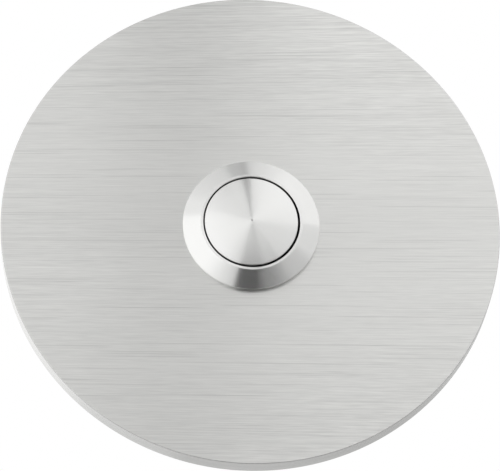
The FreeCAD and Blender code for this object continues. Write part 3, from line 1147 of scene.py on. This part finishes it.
@dataclass
class WallPlate(Assembly):
    """The round plate and the studs welded to its back.

    Attributes:
        edge_radius: rounding of the plate's outer edges.
        edge_start: share of that rounding which is turned and no longer brushed, and whose colour is darkened
            as painted shade.
        rim_start: share of it behind which the front edge ends and the rim begins.
        hole_edge_radius: rounding of the hole's edges.
        edge_steps: number of steps along a rounded edge of the plate.
        segments: number of steps round the plate.
        stud_edge_steps: number of steps along a rounded edge of a stud.
        stud_segments: number of steps round a stud.
        collar_height: height of the studs' weld collars.
        stud_radius: radius over the studs' thread.
        stud_pitch: pitch of that thread.
        weld_fillet: rounding where a stud meets its collar.
        collar_rounding: rounding of a collar's outer edge.
        stud_tip: length of the studs' pointed ends.
        tip_rounding: rounding of their tips.
        stud_runout: smooth length between a collar and the thread.
        thread_end: smooth length at the studs' ends.
    """

    edge_radius: float = 0.12 * MM
    edge_start: float = 0.85
    rim_start: float = 0.8
    hole_edge_radius: float = 0.1 * MM
    edge_steps: int = 8
    segments: int = 384
    stud_edge_steps: int = 4
    stud_segments: int = 40
    collar_height: float = 0.8 * MM
    stud_radius: float = 2.0 * MM
    stud_pitch: float = 0.7 * MM
    weld_fillet: float = 0.3 * MM
    collar_rounding: float = 0.15 * MM
    stud_tip: float = 0.6 * MM
    tip_rounding: float = 0.1 * MM
    stud_runout: float = 1.2 * MM
    thread_end: float = 0.3 * MM

    def build(self) -> None:
        """Build and dress the plate and its studs."""
        self.plate()
        self.studs()

    def plate(self) -> None:
        """A flat ring with rounded edges, brushed on its faces and turned on its rim."""
        size = Measured.of("face_plate")
        form = TurnedForm(
            (
                Corner(size.inner, size.front, self.hole_edge_radius),
                Corner(size.outer, size.front, self.edge_radius),
                Corner(size.outer, size.back, self.edge_radius),
                Corner(size.inner, size.back, self.hole_edge_radius),
            ),
            segments=self.segments,
            arc_steps=self.edge_steps,
        )
        piece = form.piece("brushed_plate")
        self.install(piece, Finish.PLATE_FACE, "fixed", "plate_steel", "face_plate")
        # Faces on the outer edge's rounding take the darker edge colour, which is painted shade; those
        # further back then take the rim's finish.
        edge = size.outer - self.edge_start * self.edge_radius
        rim = size.front + self.rim_start * self.edge_radius
        self.shop.dress_faces(piece, Finish.PLATE_EDGE_PAINTED_SHADE, lambda radius, depth: radius > edge)
        self.shop.dress_faces(piece, Finish.PLATE_RIM, lambda radius, depth: (radius > edge) & (depth > rim))

    def studs(self) -> None:
        """Two threaded studs with their weld collars."""
        low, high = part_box("fixing_studs")
        collar_radius = (high.z - low.z) / 2
        tip = high.y
        step = self.stud_pitch / THREAD_STEPS
        form = TurnedForm(
            (
                Corner(0.0, low.y),
                Corner(collar_radius, low.y),
                Corner(collar_radius, self.collar_height, self.collar_rounding),
                Corner(self.stud_radius, self.collar_height, self.weld_fillet, step=step),
                Corner(self.stud_radius, tip - self.stud_tip),
                Corner(self.stud_radius - self.stud_tip, tip, self.tip_rounding),
                Corner(0.0, tip),
            ),
            segments=self.stud_segments,
            arc_steps=self.stud_edge_steps,
            thread=Thread(self.collar_height + self.stud_runout, tip - self.thread_end, self.stud_pitch),
        )
        points, faces = form.surface()
        shifts = (low.x + collar_radius, high.x - collar_radius)
        studs = [(points + np.array([shift, 0.0, 0.0]), faces) for shift in shifts]
        piece = mesh_piece("welded_studs", *joined_surfaces(studs))
        self.install(piece, Finish.PLATED, "fixed", "bright_steel", "fixing_studs")


@dataclass
class ButtonHead(Assembly):
    """The turned housing, the domed cap in it and the rubber ring under it.

    Attributes:
        ring_width: width of the flat ring round the opening.
        side_height: height of the upright side under the flank.
        edge_radius: rounding of the housing's and the cap's edges.
        flank_edge_radius: rounding of the edge between the flank and the upright side.
        side_start: share of that rounding which looks like the upright side.
        inner_edge_radius: rounding of edges that can't be seen from the front.
        bore_slack: how far outside the opening a face still counts as its wall, which gets the darker colour
            of painted shade.
        barrel_chamfer: chamfer at the barrel's end.
        barrel_pitch: pitch of the barrel's thread.
        thread_start: depth at which that thread begins.
        thread_end: smooth length behind it.
        fit: clearance between the base, its ring and the barrel.
        slide_fit: clearance between the cap and its bore.
        dome_height: height of the cap's crown.
        dome_steps: number of steps from the middle of the crown to its edge.
        rest_offset: how far the loose cap lies off the axis, along x and z.
        flange_thickness: thickness of the cap's flange.
        bulge: rounding of the gasket's outer edges.
        segments: number of steps round the axis.
    """

    ring_width: float = 0.5 * MM
    side_height: float = 0.8 * MM
    edge_radius: float = 0.15 * MM
    flank_edge_radius: float = 0.07 * MM
    side_start: float = 0.3
    inner_edge_radius: float = 0.05 * MM
    bore_slack: float = 0.02 * MM
    barrel_chamfer: float = 0.5 * MM
    barrel_pitch: float = 1.0 * MM
    thread_start: float = -3.4 * MM
    thread_end: float = 0.2 * MM
    fit: float = 0.05 * MM
    slide_fit: float = 0.1 * MM
    dome_height: float = 0.85 * MM
    dome_steps: int = 24
    rest_offset: tuple[float, float] = (-0.07 * MM, 0.05 * MM)
    flange_thickness: float = 1.0 * MM
    bulge: float = 0.12 * MM
    segments: int = 256

    def build(self) -> None:
        """Build and dress the three pieces."""
        self.housing()
        self.cap()
        self.gasket()

    def housing(self) -> None:
        """Bezel and threaded barrel, with the stepped bore and the ring's groove."""
        whole = Measured.of("button_housing")
        barrel = Measured.of("button_housing", front=0.0)
        rear = Measured.of("button_housing", front=whole.back)
        cap, gasket = Measured.of("button_cap"), Measured.of("flange_gasket")
        base, ring = Measured.of("switch_base"), Measured.of("base_ring")
        shoulder = cap.back - self.flange_thickness
        cap_bore = cap.outer + self.slide_fit
        groove = ring.outer + self.fit
        form = TurnedForm(
            (
                Corner(whole.inner, whole.front, self.edge_radius),
                Corner(whole.inner + self.ring_width, whole.front, self.edge_radius),
                Corner(whole.outer, gasket.back - self.side_height, self.flank_edge_radius),
                Corner(whole.outer, gasket.back, self.inner_edge_radius),
                Corner(gasket.outer + self.fit, gasket.back),
                Corner(gasket.outer + self.fit, gasket.front),
                Corner(barrel.outer, gasket.front, step=self.barrel_pitch / THREAD_STEPS),
                Corner(barrel.outer, whole.back - self.barrel_chamfer),
                Corner(barrel.outer - self.barrel_chamfer, whole.back),
                Corner(rear.inner, whole.back, self.inner_edge_radius),
                Corner(rear.inner, ring.back + self.fit),
                Corner(groove, ring.back + self.fit),
                Corner(groove, ring.front - self.fit),
                Corner(rear.inner, ring.front - self.fit),
                Corner(rear.inner, base.front),
                Corner(cap_bore, base.front),
                Corner(cap_bore, shoulder),
                Corner(whole.inner, shoulder),
            ),
            segments=self.segments,
            thread=Thread(self.thread_start, whole.back - self.thread_end, self.barrel_pitch),
        )
        piece = form.piece("turned_housing")
        self.install(piece, Finish.TURNED, "fixed", "turned_steel", "button_housing")
        side = whole.outer - self.side_start * self.flank_edge_radius
        bore = whole.inner + self.bore_slack
        wall = whole.front + self.edge_radius
        # The bore's walls in the gap take the dark gap-wall colour, which is painted shade.
        regions = (
            (Finish.SIDE_WALL, lambda radius, depth: radius > side),
            (Finish.GAP_WALL_PAINTED_SHADE, lambda radius, depth: (radius < bore) & (depth > wall)),
            (Finish.THREADED, lambda radius, depth: (radius < gasket.outer) & (depth > gasket.front)),
        )
        for finish, chosen in regions:
            self.shop.dress_faces(piece, finish, chosen)

    def dome(self, radius: float, apex: float) -> list[Corner]:
        """The crown's outline: an arc whose centre lies on the axis.

        Its radius follows from the crown's width and height, and its points are evenly spaced in radius.

        Args:
            radius: radius at the crown's edge.
            apex: depth of its middle.

        Returns:
            The corners from the axis to just before the edge.
        """
        sphere = (radius**2 + self.dome_height**2) / (2 * self.dome_height)
        places = np.linspace(0.0, radius, self.dome_steps + 1)[:-1]
        depths = apex + sphere - np.sqrt(sphere**2 - places**2)
        return [Corner(float(place), float(depth)) for place, depth in zip(places, depths)]

    def cap(self) -> None:
        """The domed cap, with its seal's groove, its flange and its hollow back."""
        whole, seal = Measured.of("button_cap"), Measured.of("cap_seal")
        front = Measured.of("button_cap", back=seal.front - self.fit)
        hollow = Measured.of("button_cap", front=whole.back)
        floor = Measured.of("plunger").front
        shoulder = whole.back - self.flange_thickness
        form = TurnedForm(
            (
                *self.dome(front.outer, whole.front),
                Corner(front.outer, whole.front + self.dome_height, self.edge_radius),
                Corner(front.outer, seal.front - self.fit),
                Corner(seal.inner, seal.front - self.fit),
                Corner(seal.inner, seal.back + self.fit),
                Corner(front.outer, seal.back + self.fit),
                Corner(front.outer, shoulder),
                Corner(whole.outer, shoulder),
                Corner(whole.outer, whole.back),
                Corner(hollow.inner, whole.back),
                Corner(hollow.inner, floor),
                Corner(0.0, floor),
            ),
            segments=self.segments,
        )
        points, faces = form.surface()
        aside = np.array([self.rest_offset[0], 0.0, self.rest_offset[1]])
        piece = mesh_piece("domed_cap", points + aside, faces)
        self.install(piece, Finish.CAP, "button", "turned_steel", "button_cap")
        # The cap's side wall in the gap and the faces behind it take the dark gap-wall colour, which is
        # painted shade.
        wall = whole.front + self.dome_height + self.edge_radius
        self.shop.dress_faces(piece, Finish.GAP_WALL_PAINTED_SHADE, lambda radius, depth: depth > wall)

    def gasket(self) -> None:
        """The flat rubber ring that seals the bezel to the plate, with its outer edge a little bulged."""
        size = Measured.of("flange_gasket")
        form = TurnedForm(
            (
                Corner(size.inner, size.front),
                Corner(size.outer, size.front, self.bulge),
                Corner(size.outer, size.back, self.bulge),
                Corner(size.inner, size.back),
            ),
            segments=self.segments,
        )
        piece = form.piece("rubber_gasket")
        self.install(piece, Finish.RUBBER, "fixed", "black_rubber", "flange_gasket")


@dataclass
class BarrelHardware(Assembly):
    """The hexagon nut and the toothed washer behind the plate.

    Attributes:
        chamfer_slope: rise of the nut's chamfer over its radius.
        corner_rounding: how far the nut's corners are worn back.
        corner_start: share of the nut's greatest radius at which that begins.
        face_inset: how far the flat faces stay inside the nut's flats.
        least_drop: how far the nut's sides always start behind its faces, before the slope.
        countersink: width of the chamfer at the nut's bore.
        washer_edge: rounding of the washer's edges.
        segments: number of steps round the nut.
        sharp_degrees: edges of the nut that turn by more than this stay sharp.
    """

    chamfer_slope: float = math.tan(math.radians(30.0))
    corner_rounding: float = 0.12 * MM
    corner_start: float = 0.97
    face_inset: float = 0.1 * MM
    least_drop: float = 0.02 * MM
    countersink: float = 0.35 * MM
    washer_edge: float = 0.08 * MM
    segments: int = 360
    sharp_degrees: float = 20.0

    def build(self) -> None:
        """Build and dress the nut and the washer."""
        self.nut()
        washer = softened_copy("lock_washer", "toothed_washer", self.washer_edge)
        self.install(washer, Finish.PLATED, "fixed", "bright_steel", "lock_washer")

    def nut(self) -> None:
        """A hexagon nut whose corners are turned away by a cone on both faces.

        At each angle the side lies at the flat's distance divided by the cosine of the angle from the middle
        of that flat, less the rounding near a corner. The cone reaches it at a depth that grows with that
        distance. Each angle has the same row of points, so the whole nut is one grid.
        """
        size = Measured.of("lock_nut")
        low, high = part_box("lock_nut")
        flat = (high.z - low.z) / 2
        angle = np.linspace(0.0, FULL_TURN, self.segments, endpoint=False)
        sixth = FULL_TURN / 6
        off_flat = np.mod(angle + sixth / 2, sixth) - sixth / 2
        side = flat / np.cos(off_flat)
        past = (side - self.corner_start * size.outer) / ((1.0 - self.corner_start) * size.outer)
        side = side - self.corner_rounding * np.clip(past, 0.0, 1.0) ** 2
        drop = np.maximum(side - flat, self.least_drop) * self.chamfer_slope
        even = np.ones_like(angle)
        rows = [
            (size.inner * even, (size.front + self.countersink) * even),
            ((size.inner + self.countersink) * even, size.front * even),
            ((flat - self.face_inset) * even, size.front * even),
            (side, size.front + drop),
            (side, size.back - drop),
            ((flat - self.face_inset) * even, size.back * even),
            ((size.inner + self.countersink) * even, size.back * even),
            (size.inner * even, (size.back - self.countersink) * even),
        ]
        radius = np.stack([row[0] for row in rows])
        depth = np.stack([row[1] for row in rows])
        faces = grid_faces(len(rows), self.segments, closed=True)
        piece = mesh_piece("hexagon_nut", ring_points(radius, depth, angle), faces, self.sharp_degrees)
        self.install(piece, Finish.PLATED, "fixed", "turned_steel", "lock_nut")


@dataclass
class SwitchBlock(Assembly):
    """The moulded base with its ring, posts, clamp washers and screws.

    Attributes:
        moulded_edge: rounding of the plastic's edges.
        metal_edge: rounding of the metal's edges.
    """

    moulded_edge: float = 0.2 * MM
    metal_edge: float = 0.1 * MM

    def build(self) -> None:
        """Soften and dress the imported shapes."""
        copies = (
            ("switch_base", "moulded_base", self.moulded_edge, Finish.BLACK_PLASTIC, "black_plastic"),
            ("base_ring", "retaining_ring", self.metal_edge, Finish.SPRING, "spring_steel"),
            ("clamp_washers", "square_washers", self.metal_edge, Finish.PLATED, "bright_steel"),
            ("terminal_screws", "slotted_screws", self.metal_edge, Finish.PLATED, "bright_steel"),
        )
        for node, name, width, finish, slot in copies:
            self.install(softened_copy(node, name, width), finish, "fixed", slot, node)
        for node in ("contact_post_left", "contact_post_right"):
            self.shop.redress(node, Finish.BRASS)
        self.shop.redress("fixed_contacts", Finish.SILVER)


@dataclass
class InnerMechanism(Assembly):
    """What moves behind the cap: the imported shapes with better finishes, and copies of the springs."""

    def build(self) -> None:
        """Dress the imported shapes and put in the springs."""
        finishes = {
            "plunger": Finish.WHITE_PLASTIC,
            "cap_seal": Finish.RUBBER,
            "bridge_clip": Finish.SPRING,
            "contact_bridge": Finish.BRONZE,
            "bridge_contacts": Finish.SILVER,
        }
        for node, finish in finishes.items():
            self.shop.redress(node, finish)
        springs = (
            ("return_spring", "coiled_return_spring", "fixed", "button_press", True),
            ("contact_spring", "coiled_contact_spring", "button", "bridge_lift", False),
        )
        for spring in springs:
            self.spring(*spring)

    def spring(self, node: str, name: str, body: str, joint: str, rear_end_rests: bool) -> None:
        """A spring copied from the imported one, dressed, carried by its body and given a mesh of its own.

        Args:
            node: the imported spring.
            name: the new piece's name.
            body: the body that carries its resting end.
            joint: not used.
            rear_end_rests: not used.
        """
        piece = joined_copy(node, name)
        self.install(piece, Finish.SPRING, body, "spring_steel", node)
        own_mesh(piece)


# Light and camera


def flat_board(
    name: str, corners: Sequence[Sequence[float]], material: bpy.types.Material
) -> bpy.types.Object:
    """Make a four-sided board.

    Args:
        name: the board's name.
        corners: its corners, in order.
        material: its material.

    Returns:
        The board.
    """
    mesh = bpy.data.meshes.new(name)
    mesh.from_pydata([tuple(corner) for corner in corners], [], [(0, 1, 2, 3)])
    mesh.materials.append(material)
    return place(name, mesh)


@dataclass(frozen=True)
class Panel:
    """A flat board round the object, which faces it.

    Attributes:
        name: the board's name.
        azimuth: degrees to the right of straight in front.
        elevation: degrees above level.
        distance: distance from the middle of the plate.
        width: the board's level size.
        height: its other size.
        radiance: brightness, 1 for white.
        roll: degrees that the board is turned in its own plane.
        darkest_lamp: radiance up to which a board shows in reflections only.
    """

    name: str
    azimuth: float
    elevation: float
    distance: float
    width: float
    height: float
    radiance: float
    roll: float
    darkest_lamp: float = 0.5

    def build(self) -> bpy.types.Object:
        """Make the board, seen by reflections and by the light, and never by the camera.

        Returns:
            The board.
        """
        azimuth, elevation = math.radians(self.azimuth), math.radians(self.elevation)
        level = math.cos(elevation)
        out = Vector((math.sin(azimuth) * level, -math.cos(azimuth) * level, math.sin(elevation)))
        turn = Matrix.Rotation(math.radians(self.roll), 3, out)
        side = turn @ Vector((math.cos(azimuth), math.sin(azimuth), 0.0))
        up = out.cross(side)
        corners = [
            out * self.distance + side * across * self.width / 2 + up * along * self.height / 2
            for across, along in SQUARE
        ]
        material, sheet = new_material(self.name)
        sheet.tree.nodes.clear()
        glow = sheet.add("ShaderNodeEmission", Strength=self.radiance, Color=WHITE)
        sheet.add("ShaderNodeOutputMaterial", Surface=glow.outputs[0])
        board = flat_board(self.name, corners, material)
        board.visible_camera = False
        board.visible_shadow = False
        board.visible_diffuse = self.radiance > self.darkest_lamp
        return board


@dataclass
class Studio:
    """Floor, surroundings, boards and camera.

    Attributes:
        floor_height: height of the floor under the plate's middle.
        floor_size: side of the floor.
        floor_colour: its colour.
        floor_roughness: its roughness.
        ambient: light from all round on surfaces that aren't shiny.
        eye: the camera's place.
        aim: the point that it looks at.
        lens: focal length over the sensor's width.
        sensor: the sensor's width, in millimetres.
        clip: the nearest and the furthest distance that the camera shows.
        panels: the boards.
    """

    floor_height: float = -0.70
    floor_size: float = 16.0
    floor_colour: tuple[float, float, float] = (0.84, 0.84, 0.84)
    floor_roughness: float = 0.9
    ambient: float = 0.8
    eye: tuple[float, float, float] = (-0.04161, -0.71257, -0.28536)
    aim: tuple[float, float, float] = (-0.00019, -0.004, -0.00172)
    lens: float = 306.0
    sensor: float = 36.0
    clip: tuple[float, float] = (0.01, 20.0)
    panels: tuple[Panel, ...] = (
        Panel("softbox_left", -40.8, 0.6, 0.646, 0.789, 0.704, 1.49, 1.2),
        Panel("softbox_right", 42.5, 43.7, 0.525, 0.443, 0.452, 1.35, 9.3),
        Panel("softbox_top", -16.8, 36.1, 0.803, 0.903, 0.286, 1.36, -0.7),
        Panel("flag_low", 8.8, -36.5, 0.692, 0.444, 0.793, 0.00, -9.3),
        Panel("flag_high", -15.3, 67.8, 0.548, 0.085, 0.147, 0.40, 7.0),
        Panel("strip_low", 18.2, -26.8, 0.627, 0.053, 0.635, 0.53, 0.0),
        Panel("strip_high", -13.2, 46.5, 0.595, 0.045, 0.433, 0.48, 1.4),
        Panel("strip_dark", 0.6, 50.8, 0.563, 0.033, 0.307, 0.04, 3.9),
        Panel("flag_rear", 169.0, -6.0, 1.500, 1.100, 1.340, 0.50, 0.0),
    )

    def build(self) -> None:
        """Set up the whole studio."""
        self.floor()
        self.world()
        for panel in self.panels:
            panel.build()
        self.camera()
        bpy.context.scene.view_settings.view_transform = "Standard"

    def floor(self) -> None:
        """A plain pale floor, below the camera and out of its view."""
        half = self.floor_size / 2
        corners = [(x * half, y * half, self.floor_height) for x, y in SQUARE]
        material, sheet = new_material("studio_floor")
        shader = sheet.tree.nodes["Principled BSDF"]
        shader.inputs["Base Color"].default_value = (*self.floor_colour, 1.0)
        shader.inputs["Roughness"].default_value = self.floor_roughness
        floor = flat_board("studio_floor", corners, material)

    def world(self) -> None:
        """White surroundings for the camera and for reflections, and a dimmer light elsewhere."""
        world = bpy.data.worlds.new("studio")
        bpy.context.scene.world = world
        world.use_nodes = True
        sheet = NodeSheet(world.node_tree)
        sheet.tree.nodes.clear()
        path = sheet.add("ShaderNodeLightPath")
        seen = sheet.math("MAXIMUM", path.outputs["Is Camera Ray"], path.outputs["Is Glossy Ray"])
        seen = sheet.math("MAXIMUM", seen, path.outputs["Is Transmission Ray"])
        light = sheet.add("ShaderNodeBackground", Color=WHITE, Strength=sheet.spread(seen, self.ambient, 1.0))
        sheet.add("ShaderNodeOutputWorld", Surface=light.outputs[0])

    def camera(self) -> None:
        """The camera at the photograph's viewing angle."""
        data = bpy.data.cameras.new("viewpoint")
        data.lens = self.lens
        data.sensor_width = self.sensor
        data.clip_start, data.clip_end = self.clip
        camera = place("viewpoint", data)
        camera.location = self.eye
        sight = Vector(self.aim) - Vector(self.eye)
        camera.rotation_euler = sight.to_track_quat("-Z", "Y").to_euler()
        bpy.context.scene.camera = camera


def main() -> None:
    """Build every sub-assembly in order, then the studio."""
    logging.basicConfig(level=logging.INFO, format="%(name)s: %(message)s")
    shop = FinishShop()
    for kind in (WallPlate, ButtonHead, BarrelHardware, SwitchBlock, InnerMechanism):
        kind(shop).build()
        log.info("%s is complete", kind.__name__)
    Studio().build()


if __name__ == "__main__":
    main()
